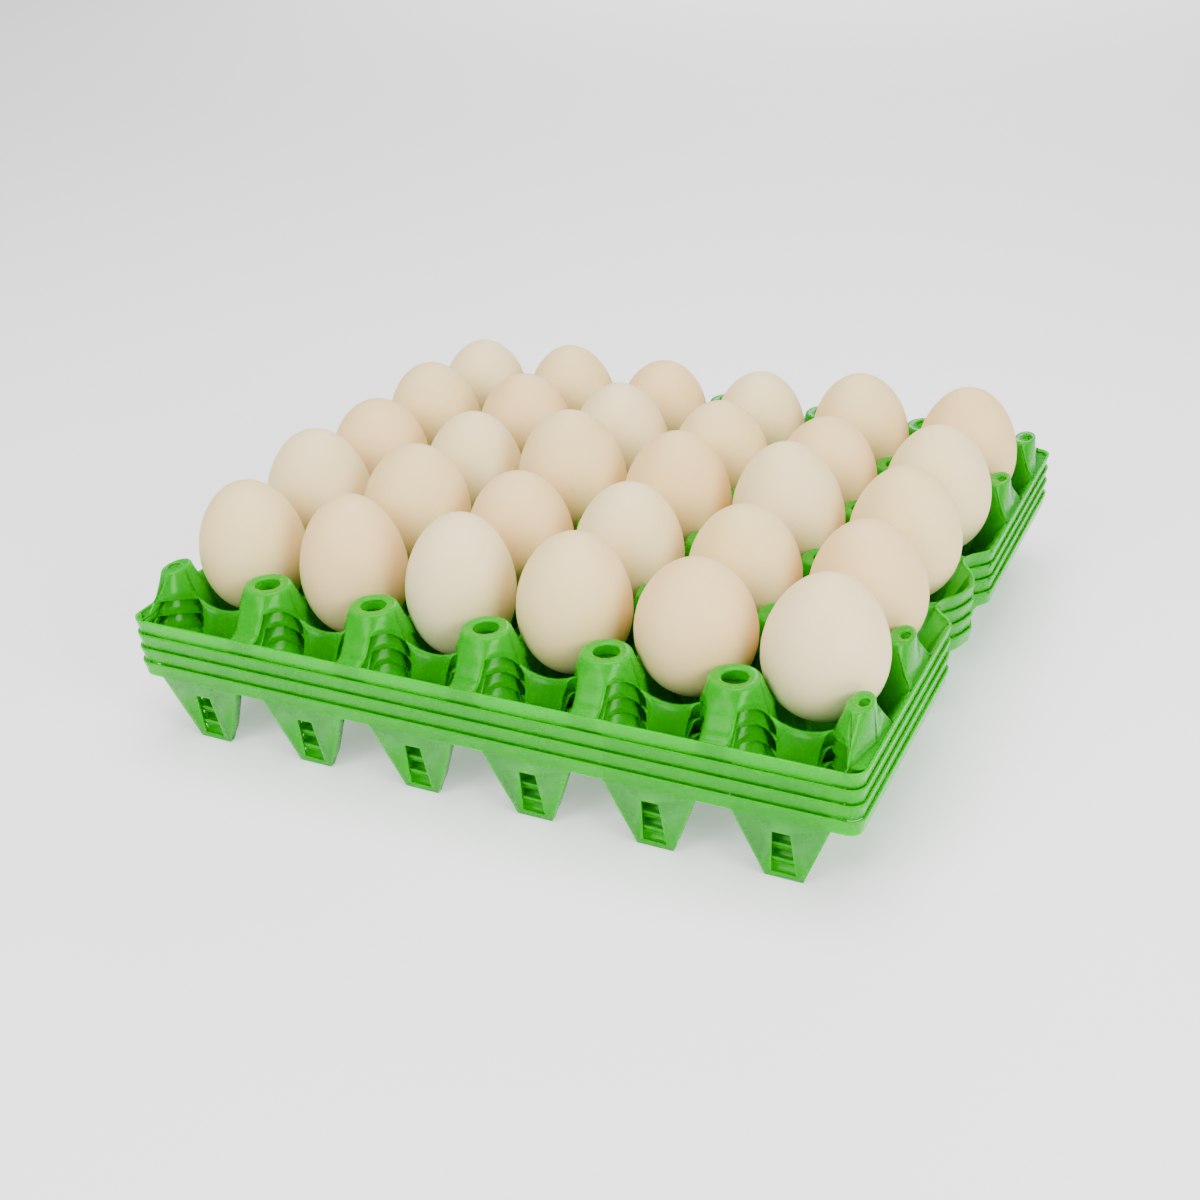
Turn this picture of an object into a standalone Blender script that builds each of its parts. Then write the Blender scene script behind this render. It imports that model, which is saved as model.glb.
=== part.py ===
"""Thirty eggs standing in a plastic egg tray that is nested on three more trays of the same kind.

The trays are thin moulded sheets. Each has seven by six hollow pillars, saddle crests between
them, a pyramid cup under every egg, and a low rim wall whose front and back hang down as teeth.
Lengths are in metres, Z is up and the origin is under the middle of the lowest feet.
"""
import math
import random

import bmesh
import bpy
from mathutils import Matrix, Vector

MM = 0.001

# Layout of the tray: thirty cups, six along the front and five deep.
PITCH = 48.5 * MM
CUP_COLUMNS = 6
CUP_ROWS = 5
HALF_COLUMNS = CUP_COLUMNS // 2
HALF_ROWS = CUP_ROWS / 2
TRAY_COUNT = 4
NEST_STEP = 6.3 * MM

# Sheet and heights above the feet of one tray.
SHEET = 0.8 * MM
WALL_SHEET = 0.7 * MM
WALL_LEAN = math.radians(9.4)
PILLAR_TOP_Z = 47.8 * MM
SHOULDER_Z = 37.6 * MM
CREST_END_Z = 34.6 * MM
SADDLE_Z = 31.4 * MM
RECESS_CREST_Z = 34.0 * MM
RIM_Z = 33.7 * MM
BAND_HEIGHT = 6.0 * MM
LEDGE_Z = RIM_Z - 0.3 * MM
FLOOR_Z = SHEET + 0.02 * MM
FLAT_ANGLE = math.radians(0.5)
TROUGH_FLOOR_Z = SHEET + 0.15 * MM

# Pillars, crests and cups, measured from a pillar's axis.
PILLAR_RADIUS = 9.4 * MM
HOLE_RADIUS = 4.75 * MM
SHOULDER_RADIUS = 13.6 * MM
CREST_START = 13.0 * MM
CUP_FLOOR_HALF = 7.1 * MM
CUP_CORNER = PITCH / 2 - CUP_FLOOR_HALF
PILLAR_SIDES = 8

# Half pillars that stand against the side walls.
HALF_PILLAR_OUTER = -0.6 * MM
HALF_PILLAR_INNER = 8.6 * MM
HALF_PILLAR_WIDTH = 8.0 * MM
HALF_HOLE_CENTRE = 2.8 * MM
HALF_HOLE_RADIUS = 1.7 * MM
HALF_HOLE_STRETCH = 1.6

# Rim wall, measured outwards from the outer pillar lines.
SIDE_MARGIN = 4.5 * MM
FRONT_MARGIN = 22.55 * MM
CORNER_RADIUS = 6.0 * MM
CORNER_STEPS = 2
LEDGE_WIDTH = 2.3 * MM
LEDGE_CORNER = 3.4 * MM
WALL_BITE = 0.95 * MM
FRONT_BITE = 0.4 * MM
STRIP_HALF = 5.5 * MM
SIDE_STRIP_HALF = 7.0 * MM

# Teeth and the windows in them.
TOOTH_TOP_GAP = 6.5 * MM
TROUGH_INNER = 14.6 * MM
WINDOW_LOW_Z = 2.2 * MM
WINDOW_HIGH_Z = 21.5 * MM
WINDOW_LOW_HALF = 4.6 * MM
WINDOW_HIGH_HALF = 3.3 * MM

# Finger recess beside the third pillar line: how far in, and how far along from that line.
RECESS = (
    (0.0 * MM, -8.2 * MM),
    (9.0 * MM, 0.5 * MM),
    (9.0 * MM, 6.5 * MM),
    (2.4 * MM, 15.0 * MM),
    (0.0 * MM, PITCH / 2),
)
RECESS_ROW = 2

# Eggs: widest diameter and length of each, row by row from the front, left to right.
EGG_DIAMETERS = (
    (43.2, 42.5, 42.5, 43.5, 45.0, 45.0),
    (45.0, 45.1, 43.4, 43.8, 44.1, 44.4),
    (43.9, 43.5, 46.6, 45.3, 45.6, 44.4),
    (43.5, 44.1, 44.1, 43.4, 43.7, 44.1),
    (42.2, 42.8, 42.2, 42.2, 43.4, 43.2),
)
EGG_LENGTHS = (
    (55.2, 58.3, 59.5, 56.9, 51.5, 54.6),
    (57.0, 57.1, 53.4, 55.6, 54.1, 53.7),
    (54.8, 54.3, 59.5, 56.9, 57.8, 55.6),
    (55.3, 55.4, 56.3, 54.0, 52.8, 55.2),
    (51.5, 53.7, 51.9, 52.2, 56.4, 55.3),
)
EGG_SIDES = 8
EGG_RINGS = 6
EGG_TAPER = 0.08
EGG_TAPER_SPREAD = 0.04
EGG_TILT = math.radians(4.0)
EGG_GAP = 0.35 * MM
EGG_SEED = 30
SEAT_SAMPLES = 24

TRAY_GREEN = (0.075, 0.72, 0.012, 1.0)
SHELL_CREAM = (0.86, 0.74, 0.61, 1.0)


def clear_scene():
    for item in list(bpy.data.objects):
        bpy.data.objects.remove(item, do_unlink=True)


def collection(name):
    made = bpy.data.collections.new(name)
    bpy.context.scene.collection.children.link(made)
    return made


def material(name, colour, roughness):
    made = bpy.data.materials.new(name)
    made.use_nodes = True
    shader = made.node_tree.nodes["Principled BSDF"]
    shader.inputs["Base Color"].default_value = colour
    shader.inputs["Roughness"].default_value = roughness
    shader.inputs["Metallic"].default_value = 0.0
    return made


class Sheet:
    """An open sheet made of polygons that share their corners."""

    def __init__(self):
        self.mesh = bmesh.new()
        self.corners = {}

    def corner(self, point):
        key = tuple(round(value * 1e7) for value in point)
        if key not in self.corners:
            self.corners[key] = self.mesh.verts.new(point)
        return self.corners[key]

    def face(self, *points):
        corners = [self.corner(point) for point in points]
        return self.mesh.faces.new(corners)

    def finish(self, name, facing):
        """Turn every face to the side that facing picks, and hand over the mesh."""
        bmesh.ops.recalc_face_normals(self.mesh, faces=self.mesh.faces)
        turned = sum(facing(face) * face.calc_area() for face in self.mesh.faces)
        if turned < 0:
            bmesh.ops.reverse_faces(self.mesh, faces=self.mesh.faces)
        data = bpy.data.meshes.new(name)
        self.mesh.to_mesh(data)
        self.mesh.free()
        return data


def pillar_axis(column, row):
    return Vector(((column - HALF_COLUMNS) * PITCH, (row - HALF_ROWS) * PITCH, 0.0))


def at(axis, x, y, z):
    return (axis.x + x, axis.y + y, z)


def side_line():
    """How far out the sheet reaches into the side wall, from the outer pillar line."""
    return -(SIDE_MARGIN - WALL_BITE)


def front_line():
    return -(FRONT_MARGIN - FRONT_BITE)


def ledge_side():
    return -(SIDE_MARGIN - LEDGE_WIDTH)


def ledge_front():
    return -(FRONT_MARGIN - LEDGE_WIDTH)


def shoulder(column, row, along_x, along_y, pillars=True):
    """The point of a crest next to a pillar, in one of the four crest directions."""
    axis = pillar_axis(column, row)
    if column == 0 and along_y:
        if row == RECESS_ROW:
            inset, along = RECESS[0] if along_y < 0 else RECESS[3]
            return at(axis, side_line() + inset, along, LEDGE_Z)
        return at(axis, side_line(), along_y * CREST_START, LEDGE_Z)
    if not pillars and (column, row) != (0, RECESS_ROW):
        return crest_crossing(column, row)
    height = RECESS_CREST_Z if (column, row) == (0, RECESS_ROW) else CREST_END_Z
    return at(axis, along_x * CREST_START, along_y * CREST_START, height)


def cup_corner(column, row, side_x, side_y):
    return at(pillar_axis(column, row), side_x * CUP_CORNER, side_y * CUP_CORNER, FLOOR_Z)


def crest(column, row, along_x, along_y, pillars):
    """The crest from one pillar to the next, as points."""
    start = shoulder(column, row, along_x, along_y, pillars)
    end = shoulder(column + along_x, row + along_y, -along_x, -along_y, pillars)
    if column == 0 and along_y:
        if row == RECESS_ROW:
            axis = pillar_axis(column, row)
            middle = at(axis, side_line(), RECESS[4][1], LEDGE_Z)
            return [start, middle, at(axis, side_line() + RECESS[3][0], PITCH - RECESS[3][1], LEDGE_Z)]
        return [start, end]
    if not pillars:
        return [start, end]
    axis = pillar_axis(column, row)
    middle = at(axis, along_x * PITCH / 2, along_y * PITCH / 2, SADDLE_Z)
    return [start, middle, end]


def add_cup(sheet, column, row, pillars):
    """The floor and the four sloping webs of one cup."""
    low_left = cup_corner(column, row, 1, 1)
    low_right = cup_corner(column + 1, row, -1, 1)
    high_right = cup_corner(column + 1, row + 1, -1, -1)
    high_left = cup_corner(column, row + 1, 1, -1)
    sheet.face(low_left, low_right, high_right, high_left)
    sheet.face(*crest(column, row, 1, 0, pillars), low_right, low_left)
    sheet.face(*crest(column, row, 0, 1, pillars), high_left, low_left)
    sheet.face(*crest(column + 1, row, 0, 1, pillars), high_right, low_right)
    if row < RECESS_ROW:
        sheet.face(*crest(column, row + 1, 1, 0, pillars), high_right, high_left)


def pillar_rings(column, row):
    """The eight corners of a pillar's hole and of its top edge, drawn in for a half pillar."""
    axis = pillar_axis(column, row)
    hole = []
    top = []
    for step in range(PILLAR_SIDES):
        angle = step * math.tau / PILLAR_SIDES
        along_x = math.cos(angle)
        along_y = math.sin(angle)
        if column == 0:
            middle = (HALF_PILLAR_INNER + HALF_PILLAR_OUTER) / 2
            reach = (HALF_PILLAR_INNER - HALF_PILLAR_OUTER) / 2
            hole_x = HALF_HOLE_CENTRE + HALF_HOLE_RADIUS * along_x
            hole_y = HALF_HOLE_RADIUS * HALF_HOLE_STRETCH * along_y
            top_x = middle + reach * along_x
            top_y = HALF_PILLAR_WIDTH * along_y
        else:
            hole_x = HOLE_RADIUS * along_x
            hole_y = HOLE_RADIUS * along_y
            top_x = PILLAR_RADIUS * along_x
            top_y = PILLAR_RADIUS * along_y
        hole.append(at(axis, hole_x, hole_y, PILLAR_TOP_Z))
        top.append(at(axis, top_x, top_y, PILLAR_TOP_Z))
    return hole, top


def diagonal(column, row, side_x, side_y):
    reach = SHOULDER_RADIUS * math.sqrt(0.5)
    return at(pillar_axis(column, row), side_x * reach, side_y * reach, SHOULDER_Z)


def add_corner_faces(sheet, column, row, side_x, side_y, pillars):
    """The sheet between a pillar and the corner of the cup beside it."""
    across = shoulder(column, row, side_x, 0)
    along = shoulder(column, row, 0, side_y)
    low = cup_corner(column, row, side_x, side_y)
    if pillars:
        turn = diagonal(column, row, side_x, side_y)
        sheet.face(across, turn, low)
        sheet.face(turn, along, low)
    elif column == 0:
        sheet.face(crest_crossing(column, row), along, low)


def crest_crossing(column, row):
    """Where the crests of a lower tray meet, out of sight inside the pillar of the tray above."""
    return at(pillar_axis(column, row), HALF_HOLE_CENTRE if column == 0 else 0.0, 0.0, SADDLE_Z)


def foot_ring(column, row):
    """What each of the eight sides of a pillar runs down to."""
    axis = pillar_axis(column, row)
    ring = [
        shoulder(column, row, 1, 0),
        diagonal(column, row, 1, 1),
        shoulder(column, row, 0, 1),
        diagonal(column, row, -1, 1),
        shoulder(column, row, -1, 0),
        diagonal(column, row, -1, -1),
        shoulder(column, row, 0, -1),
        diagonal(column, row, 1, -1),
    ]
    if column == 0:
        ring[3] = at(axis, ledge_side(), SIDE_STRIP_HALF, LEDGE_Z)
        ring[4] = at(axis, ledge_side(), 0.0, LEDGE_Z)
        ring[5] = at(axis, ledge_side(), -SIDE_STRIP_HALF, LEDGE_Z)
        if row == 0:
            ring[5] = at(axis, ledge_side() + LEDGE_CORNER, ledge_front() + LEDGE_CORNER, LEDGE_Z)
            ring[6] = at(axis, STRIP_HALF, ledge_front(), LEDGE_Z)
    return ring


def add_round_pillar(sheet, column, row):
    """A hollow pillar: its open top, its flared sides and, at the front, its strip."""
    axis = pillar_axis(column, row)
    hole, top = pillar_rings(column, row)
    foot = foot_ring(column, row)
    strip_left = at(axis, -STRIP_HALF, ledge_front(), LEDGE_Z)
    strip_right = at(axis, STRIP_HALF, ledge_front(), LEDGE_Z)
    for side in range(PILLAR_SIDES):
        after = (side + 1) % PILLAR_SIDES
        sheet.face(hole[side], hole[after], top[after], top[side])
        if row == 0 and column > 0 and side == 5:
            sheet.face(top[5], top[6], strip_left)
        elif row == 0 and column > 0 and side == 6:
            sheet.face(top[6], top[7], strip_right, strip_left)
        elif row == 0 and column == 0 and side == 6:
            sheet.face(top[6], top[7], foot[6])
        else:
            sheet.face(top[side], top[after], foot[after], foot[side])


def trough_near(column, side_x):
    """The inner end of a front trough's floor beside a front pillar."""
    return at(pillar_axis(column, 0), side_x * CUP_CORNER, -TROUGH_INNER, TROUGH_FLOOR_Z)


def add_crest_end(sheet, column, row):
    """A lower tray's sheet between the end of a crest and the rim ledge."""
    axis = pillar_axis(column, row)
    tip = crest_crossing(column, row)
    if column == 0:
        foot = foot_ring(column, row)
        behind = shoulder(column, row, 0, 1)
        sheet.face(tip, behind, foot[3])
        sheet.face(tip, foot[3], foot[4])
        sheet.face(tip, foot[4], foot[5])
        if row == 0:
            sheet.face(tip, foot[5], foot[6])
            sheet.face(tip, foot[6], trough_near(column, 1))
        else:
            sheet.face(tip, foot[5], shoulder(column, row, 0, -1))
    elif row == 0:
        strip_left = at(axis, -STRIP_HALF, ledge_front(), LEDGE_Z)
        strip_right = at(axis, STRIP_HALF, ledge_front(), LEDGE_Z)
        sheet.face(tip, trough_near(column, -1), strip_left)
        sheet.face(tip, strip_left, strip_right)
        sheet.face(tip, strip_right, trough_near(column, 1))


def add_ledge(sheet, column, row):
    """The flat rest for the tray above, between a pillar's foot and the rim wall."""
    axis = pillar_axis(column, row)
    wall_x = side_line()
    wall_y = front_line()
    if column > 0:
        near_left = at(axis, -STRIP_HALF, ledge_front(), LEDGE_Z)
        near_right = at(axis, STRIP_HALF, ledge_front(), LEDGE_Z)
        wall_right = at(axis, STRIP_HALF, wall_y, LEDGE_Z)
        wall_left = at(axis, -STRIP_HALF, wall_y, LEDGE_Z)
        sheet.face(near_left, near_right, wall_right, wall_left)
        return
    foot = foot_ring(column, row)
    behind = shoulder(column, row, 0, 1)
    wall_behind = at(axis, wall_x, SIDE_STRIP_HALF, LEDGE_Z)
    wall_middle = at(axis, wall_x, 0.0, LEDGE_Z)
    sheet.face(foot[3], wall_behind, behind)
    sheet.face(foot[3], foot[4], wall_middle, wall_behind)
    if row == 0:
        turn_side = at(axis, wall_x, wall_y + CORNER_RADIUS, LEDGE_Z)
        turn_front = at(axis, wall_x + CORNER_RADIUS, wall_y, LEDGE_Z)
        wall_front = at(axis, STRIP_HALF, wall_y, LEDGE_Z)
        sheet.face(foot[4], foot[5], turn_side, wall_middle)
        sheet.face(foot[5], turn_front, turn_side)
        sheet.face(foot[5], foot[6], wall_front, turn_front)
    else:
        wall_front = at(axis, wall_x, -SIDE_STRIP_HALF, LEDGE_Z)
        sheet.face(foot[4], foot[5], wall_front, wall_middle)
        sheet.face(foot[5], shoulder(column, row, 0, -1), wall_front)


def add_recess_corner(sheet):
    """The sheet behind the finger recess, where the tray has no half pillar."""
    axis = pillar_axis(0, RECESS_ROW)
    crest_end = shoulder(0, RECESS_ROW, 1, 0)
    near = [at(axis, side_line() + inset, along, LEDGE_Z) for inset, along in RECESS]
    low_front = cup_corner(0, RECESS_ROW, 1, -1)
    low_back = cup_corner(0, RECESS_ROW, 1, 1)
    sheet.face(crest_end, near[1], low_front)
    sheet.face(near[1], near[0], low_front)
    sheet.face(crest_end, near[2], near[1])
    sheet.face(crest_end, near[2], low_back)
    sheet.face(near[2], near[3], low_back)


def add_front_trough(sheet, column, pillars, toothed):
    """The half cup between two front strips: its sloping web and its narrow floor."""
    left = pillar_axis(column, 0)
    right = pillar_axis(column + 1, 0)
    reach = -(FRONT_MARGIN - RIM_Z * math.tan(WALL_LEAN) - FRONT_BITE)
    near_left = trough_near(column, 1)
    near_right = trough_near(column + 1, -1)
    far_left = at(left, CUP_CORNER, reach, TROUGH_FLOOR_Z)
    far_right = at(right, -CUP_CORNER, reach, TROUGH_FLOOR_Z)
    sheet.face(*crest(column, 0, 1, 0, pillars), near_right, near_left)
    if toothed:
        sheet.face(near_left, near_right, far_right, far_left)


def quarter_sheet(name, pillars, toothed):
    """One quarter of a tray's moulded sheet, left and front of the middle."""
    sheet = Sheet()
    for column in range(HALF_COLUMNS + 1):
        for row in range(RECESS_ROW + 1):
            if (column, row) == (0, RECESS_ROW):
                add_recess_corner(sheet)
                continue
            if pillars:
                add_round_pillar(sheet, column, row)
            else:
                add_crest_end(sheet, column, row)
            if column == 0 or row == 0:
                add_ledge(sheet, column, row)
            for side_x in (-1, 1):
                for side_y in (-1, 1):
                    outside = (column == 0 and side_x < 0) or (row == 0 and side_y < 0)
                    if not outside and not (column == HALF_COLUMNS and side_x > 0):
                        add_corner_faces(sheet, column, row, side_x, side_y, pillars)
    for column in range(HALF_COLUMNS):
        add_front_trough(sheet, column, pillars, toothed)
        for row in range(RECESS_ROW + 1):
            add_cup(sheet, column, row, pillars)
    return sheet.finish(name, lambda face: face.normal.z)


def rim_outline(toothed):
    """Plan of the rim from the middle of the front round to the middle of the left side."""
    front = -(HALF_ROWS * PITCH + FRONT_MARGIN)
    side = -(HALF_COLUMNS * PITCH + SIDE_MARGIN)
    points = [Vector((0.0, front))]
    for column in range(HALF_COLUMNS if toothed else -1, -1, -1):
        middle = (column - HALF_COLUMNS) * PITCH
        if column < HALF_COLUMNS:
            points.append(Vector((middle + TOOTH_TOP_GAP, front)))
        if column > 0:
            points.append(Vector((middle - TOOTH_TOP_GAP, front)))
    for step in range(CORNER_STEPS + 1):
        angle = step * math.pi / 2 / CORNER_STEPS
        x = side + CORNER_RADIUS * (1 - math.sin(angle))
        y = front + CORNER_RADIUS * (1 - math.cos(angle))
        points.append(Vector((x, y)))
    line = (RECESS_ROW - HALF_ROWS) * PITCH
    points.extend(Vector((side + inset, line + along)) for inset, along in RECESS)
    return points


def drawn_in(points, depth):
    """The outline moved in by depth, square to each stretch."""
    moved = []
    for index, point in enumerate(points):
        before = points[max(index - 1, 0)]
        after = points[min(index + 1, len(points) - 1)]
        first = (point - before).normalized() if index else (after - point).normalized()
        second = (after - point).normalized() if index < len(points) - 1 else first
        if index == len(points) - 1:
            second = Vector((0.0, 1.0))
            first = second
        square_a = Vector((first.y, -first.x))
        square_b = Vector((second.y, -second.x))
        mitre = (square_a + square_b).normalized()
        inward = mitre * (depth / mitre.dot(square_a))
        moved.append(point - inward if inward.dot(point) > 0 else point + inward)
    return moved


def tooth_corner(middle, half, height):
    front = -(HALF_ROWS * PITCH + FRONT_MARGIN)
    return (middle + half, front + (RIM_Z - height) * math.tan(WALL_LEAN), height)


def quarter_wall(name, toothed, windows):
    """One quarter of the rim wall, with its teeth and the windows in them where they are wanted."""
    sheet = Sheet()
    outline = rim_outline(toothed)
    low_outline = drawn_in(outline, BAND_HEIGHT * math.tan(WALL_LEAN))
    band_z = RIM_Z - BAND_HEIGHT
    for index in range(len(outline) - 1):
        high_a = (*outline[index], RIM_Z)
        high_b = (*outline[index + 1], RIM_Z)
        low_a = (*low_outline[index], band_z)
        low_b = (*low_outline[index + 1], band_z)
        sheet.face(high_a, high_b, low_b, low_a)
    for column in range(HALF_COLUMNS if toothed else 0):
        middle = (column + 0.5 - HALF_COLUMNS) * PITCH
        top_half = PITCH / 2 - TOOTH_TOP_GAP
        outer = [
            tooth_corner(middle, -top_half, band_z),
            tooth_corner(middle, top_half, band_z),
            tooth_corner(middle, CUP_FLOOR_HALF, 0.0),
            tooth_corner(middle, -CUP_FLOOR_HALF, 0.0),
        ]
        if not windows:
            sheet.face(*outer)
            continue
        window = [
            tooth_corner(middle, -WINDOW_HIGH_HALF, WINDOW_HIGH_Z),
            tooth_corner(middle, WINDOW_HIGH_HALF, WINDOW_HIGH_Z),
            tooth_corner(middle, WINDOW_LOW_HALF, WINDOW_LOW_Z),
            tooth_corner(middle, -WINDOW_LOW_HALF, WINDOW_LOW_Z),
        ]
        for side in range(4):
            after = (side + 1) % 4
            sheet.face(outer[side], outer[after], window[after], window[side])
    return sheet.finish(name, lambda face: face.normal.dot(face.calc_center_median()))


def add_mirror_and_thickness(item, thickness):
    mirror = item.modifiers.new("four quarters", "MIRROR")
    mirror.use_axis = (True, True, False)
    mirror.use_bisect_axis = (True, True, False)
    mirror.use_bisect_flip_axis = (True, True, False)
    mirror.use_clip = True
    mirror.merge_threshold = 0.0001
    mirror.bisect_threshold = 0.00001
    shell = item.modifiers.new("sheet thickness", "SOLIDIFY")
    shell.thickness = thickness
    shell.offset = -1.0
    shell.use_even_offset = True
    shell.use_quality_normals = True


def add_tray(level, sheet_data, wall_data, plastic, parts, tools):
    height = level * NEST_STEP
    wall = bpy.data.objects.new(f"wall_{level + 1}", wall_data)
    wall.location.z = height
    wall.hide_render = True
    wall.display_type = "WIRE"
    tools.objects.link(wall)
    add_mirror_and_thickness(wall, WALL_SHEET)
    tray = bpy.data.objects.new(f"tray_{level + 1}", sheet_data)
    tray.location.z = height
    parts.objects.link(tray)
    tray.data.materials.append(plastic)
    add_mirror_and_thickness(tray, SHEET)
    join = tray.modifiers.new("join the rim wall", "BOOLEAN")
    join.operation = "UNION"
    join.solver = "EXACT"
    join.object = wall
    flat = tray.modifiers.new("merge flat faces", "DECIMATE")
    flat.decimate_type = "DISSOLVE"
    flat.angle_limit = FLAT_ANGLE


def cup_surface(x, y):
    """Height of a cup's sheet above its tray's feet, at a place measured from the cup's middle."""
    slope = (CREST_END_Z - FLOOR_Z) / CUP_CORNER
    web = FLOOR_Z + max(max(abs(x), abs(y)) - CUP_FLOOR_HALF, 0.0) * slope
    reach = math.hypot(PITCH / 2 - abs(x), PITCH / 2 - abs(y))
    corner_reach = CUP_CORNER * math.sqrt(2)
    if reach < PILLAR_RADIUS:
        pillar = PILLAR_TOP_Z
    elif reach < SHOULDER_RADIUS:
        share = (reach - PILLAR_RADIUS) / (SHOULDER_RADIUS - PILLAR_RADIUS)
        pillar = PILLAR_TOP_Z + share * (SHOULDER_Z - PILLAR_TOP_Z)
    else:
        share = (reach - SHOULDER_RADIUS) / (corner_reach - SHOULDER_RADIUS)
        pillar = SHOULDER_Z + share * (FLOOR_Z - SHOULDER_Z)
    return max(web, pillar)


def egg_point(across, height, diameter, length, taper):
    """A point of a unit ball, moved onto an egg."""
    swell = diameter / 2 * (1 - taper * height)
    return Vector((across.x * swell, across.y * swell, height * length / 2))


def seat_height(diameter, length, taper, lean):
    """How high the egg's middle has to be for it to rest in its cup."""
    highest = 0.0
    for ring in range(1, SEAT_SAMPLES):
        height = -math.cos(ring / SEAT_SAMPLES * math.pi / 2)
        width = math.sqrt(1 - height * height)
        for step in range(SEAT_SAMPLES):
            angle = step * math.tau / SEAT_SAMPLES
            across = Vector((width * math.cos(angle), width * math.sin(angle)))
            point = lean @ egg_point(across, height, diameter, length, taper)
            highest = max(highest, cup_surface(point.x, point.y) - point.z)
    return highest + EGG_GAP


def add_egg(column, row, shell, parts, draw):
    diameter = EGG_DIAMETERS[row][column] * MM
    length = EGG_LENGTHS[row][column] * MM
    taper = EGG_TAPER + draw.uniform(-1, 1) * EGG_TAPER_SPREAD
    lean_x = Matrix.Rotation(draw.uniform(-1, 1) * EGG_TILT, 3, "X")
    lean_y = Matrix.Rotation(draw.uniform(-1, 1) * EGG_TILT, 3, "Y")
    lean = lean_x @ lean_y
    ball = bmesh.new()
    bmesh.ops.create_uvsphere(ball, u_segments=EGG_SIDES, v_segments=EGG_RINGS, radius=1.0)
    for vertex in ball.verts:
        vertex.co = egg_point(vertex.co.xy, vertex.co.z, diameter, length, taper)
    name = f"egg_r{row + 1}_c{column + 1}"
    data = bpy.data.meshes.new(name)
    ball.to_mesh(data)
    ball.free()
    egg = bpy.data.objects.new(name, data)
    parts.objects.link(egg)
    data.materials.append(shell)
    data.shade_smooth()
    middle = pillar_axis(column + 0.5, row + 0.5)
    seat = (TRAY_COUNT - 1) * NEST_STEP + seat_height(diameter, length, taper, lean)
    egg.matrix_world = Matrix.Translation((middle.x, middle.y, seat)) @ lean.to_4x4()


def main():
    clear_scene()
    parts = collection("tray_of_eggs")
    tools = collection("cutters")
    plastic = material("tray_green_plastic", TRAY_GREEN, 0.3)
    shell = material("egg_shell", SHELL_CREAM, 0.6)
    windowed_wall = quarter_wall("windowed_wall", True, True)
    toothed_wall = quarter_wall("toothed_wall", True, False)
    plain_wall = quarter_wall("plain_wall", False, False)
    bottom_sheet = quarter_sheet("bottom_sheet", False, True)
    middle_sheet = quarter_sheet("middle_sheet", False, False)
    top_sheet = quarter_sheet("top_sheet", True, True)
    add_tray(0, bottom_sheet, windowed_wall, plastic, parts, tools)
    for level in range(1, TRAY_COUNT - 1):
        add_tray(level, middle_sheet, plain_wall, plastic, parts, tools)
    add_tray(TRAY_COUNT - 1, top_sheet, toothed_wall, plastic, parts, tools)
    draw = random.Random(EGG_SEED)
    for row in range(CUP_ROWS):
        for column in range(CUP_COLUMNS):
            add_egg(column, row, shell, parts, draw)


main()
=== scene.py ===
"""Thirty eggs in a bright green plastic tray that is nested on three more of its kind.

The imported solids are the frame. Here each tray is rebuilt as a smooth moulded sheet with open
windows beside its pillars, and each egg as a smooth shell. Lengths are in metres.
"""

import math
import random

import bmesh
import bpy
from mathutils import Matrix, Vector


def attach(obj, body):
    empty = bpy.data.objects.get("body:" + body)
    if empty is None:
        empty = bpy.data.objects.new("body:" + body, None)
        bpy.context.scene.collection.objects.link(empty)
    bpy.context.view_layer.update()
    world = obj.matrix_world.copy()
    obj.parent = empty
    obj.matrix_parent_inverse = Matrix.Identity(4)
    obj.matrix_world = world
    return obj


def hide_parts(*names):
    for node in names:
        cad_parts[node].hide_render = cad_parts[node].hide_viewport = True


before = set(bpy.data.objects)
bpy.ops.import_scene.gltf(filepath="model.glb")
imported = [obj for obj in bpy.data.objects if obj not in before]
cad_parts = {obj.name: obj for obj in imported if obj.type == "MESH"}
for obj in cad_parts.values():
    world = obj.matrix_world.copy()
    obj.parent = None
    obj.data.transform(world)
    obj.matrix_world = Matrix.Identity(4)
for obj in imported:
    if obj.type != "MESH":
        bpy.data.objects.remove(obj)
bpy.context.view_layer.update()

MM = 0.001

# Layout of a tray: thirty cups, six along the front and five deep.
PITCH = 48.5 * MM
CUP_COLUMNS = 6
CUP_ROWS = 5
HALF_COLUMNS = CUP_COLUMNS // 2
HALF_ROWS = CUP_ROWS / 2
TRAY_COUNT = 4
NEST_STEP = 6.3 * MM

# Sheet and heights above the feet of one tray.
SHEET = 0.8 * MM
WALL_SHEET = 0.95 * MM
WALL_LEAN = math.radians(9.4)
PILLAR_TOP_Z = 47.8 * MM
SHOULDER_Z = 37.6 * MM
CREST_END_Z = 34.6 * MM
SADDLE_Z = 31.4 * MM
RECESS_CREST_Z = 34.0 * MM
RIM_Z = 33.7 * MM
BAND_HEIGHT = 6.25 * MM
LEDGE_Z = RIM_Z - 0.3 * MM
FLOOR_Z = SHEET + 0.02 * MM
TROUGH_FLOOR_Z = SHEET + 0.15 * MM

# Pillars, crests and cups, measured from a pillar's axis.
PILLAR_RADIUS = 9.4 * MM
HOLE_RADIUS = 4.75 * MM
SHOULDER_RADIUS = 13.6 * MM
WAIST_RADIUS = 11.7 * MM
CREST_START = 13.0 * MM
CUP_FLOOR_HALF = 7.1 * MM
CUP_CORNER = PITCH / 2 - CUP_FLOOR_HALF

# Half pillars that stand against the side walls.
HALF_PILLAR_MIDDLE = 4.0 * MM
HALF_PILLAR_REACH = 4.6 * MM
HALF_PILLAR_WIDTH = 8.0 * MM
HALF_HOLE_CENTRE = 2.8 * MM
HALF_HOLE_RADIUS = 1.7 * MM
HALF_HOLE_STRETCH = 1.6

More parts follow.
